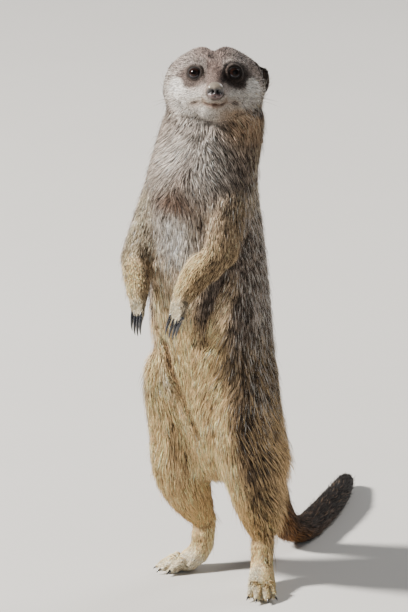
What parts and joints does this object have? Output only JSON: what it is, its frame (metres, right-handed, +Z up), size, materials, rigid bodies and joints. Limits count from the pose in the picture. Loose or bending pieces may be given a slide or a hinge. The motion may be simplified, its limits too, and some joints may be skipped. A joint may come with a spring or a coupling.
{
  "type": "meerkat",
  "caption": "Still life-size model of a meerkat standing upright on its hind feet, forepaws hanging, head turned to its left, tail laid on the floor.",
  "frame": {"origin": "on the floor, under the middle of the whole animal's bounding box, tail included", "axes": "+Z up, -Y the way the trunk and feet face, +X to the animal's own left"},
  "size_m": [0.0898, 0.2444, 0.3071],
  "materials": {
    "coat": "long grizzled fur over skin, matt",
    "pale_coat": "short cream and buff fur over skin, matt",
    "head_coat": "short silver-grey fur over skin, matt",
    "dark_coat": "short black-brown fur over skin, matt",
    "nose_skin": "moist dark bare skin",
    "eye": "wet, dark brown, clear surface",
    "claw": "smooth horn, blue-black with paler tips"
  },
  "bodies": {
    "root": {"belly": "coat", "chest": "coat", "ear_left": "dark_coat", "ear_right": "dark_coat", "eye_left": "eye", "eye_right": "eye", "foot_left": "pale_coat", "foot_right": "pale_coat", "forearm_left": "pale_coat", "forearm_right": "pale_coat", "hand_claw_left_1": "claw", "hand_claw_left_2": "claw", "hand_claw_left_3": "claw", "hand_claw_left_4": "claw", "hand_claw_right_1": "claw", "hand_claw_right_2": "claw", "hand_claw_right_3": "claw", "hand_claw_right_4": "claw", "hand_left": "pale_coat", "hand_right": "pale_coat", "head": "head_coat", "hips": "coat", "lower_jaw": "pale_coat", "neck": "pale_coat", "nose": "nose_skin", "shank_left": "coat", "shank_right": "coat", "tail_base": "coat", "tail_bend": "coat", "tail_middle": "coat", "tail_tip": "dark_coat", "thigh_left": "coat", "thigh_right": "coat", "toe_claw_left_1": "claw", "toe_claw_left_2": "claw", "toe_claw_left_3": "claw", "toe_claw_left_4": "claw", "toe_claw_right_1": "claw", "toe_claw_right_2": "claw", "toe_claw_right_3": "claw", "toe_claw_right_4": "claw", "upper_arm_left": "coat", "upper_arm_right": "coat"}
  },
  "joints": []
}
